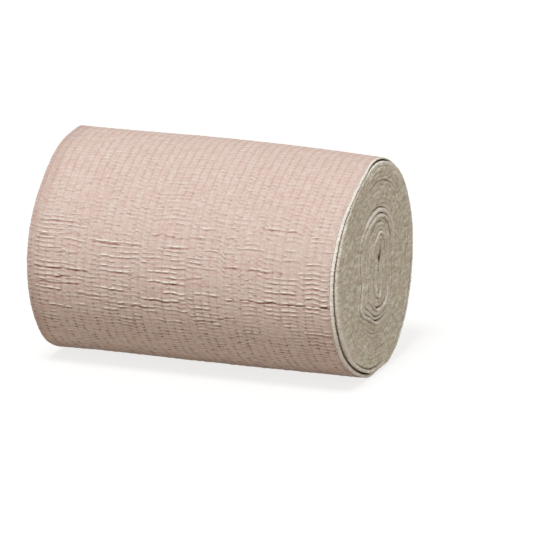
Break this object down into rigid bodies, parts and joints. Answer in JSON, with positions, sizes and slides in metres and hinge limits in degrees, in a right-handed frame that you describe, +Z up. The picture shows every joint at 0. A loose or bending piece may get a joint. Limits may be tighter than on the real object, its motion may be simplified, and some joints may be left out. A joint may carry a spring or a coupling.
{
  "type": "elastic bandage roll",
  "caption": "Woven cotton elastic bandage with selvedges along both edges, folded once at the core and wound into a roll that lies on its side on a small flat spot.",
  "frame": {"origin": "middle of the bottom of the bounding box, on the flat spot that the roll rests on", "axes": "+X along the roll's axis towards the end whose core stands out, +Y back, +Z up"},
  "size_m": [0.1038, 0.0706, 0.0697],
  "materials": {
    "bandage_cotton": "matt woven elastic crepe, pinkish tan, with cream selvedges"
  },
  "bodies": {
    "root": {"bandage_roll": "bandage_cotton"}
  },
  "joints": []
}
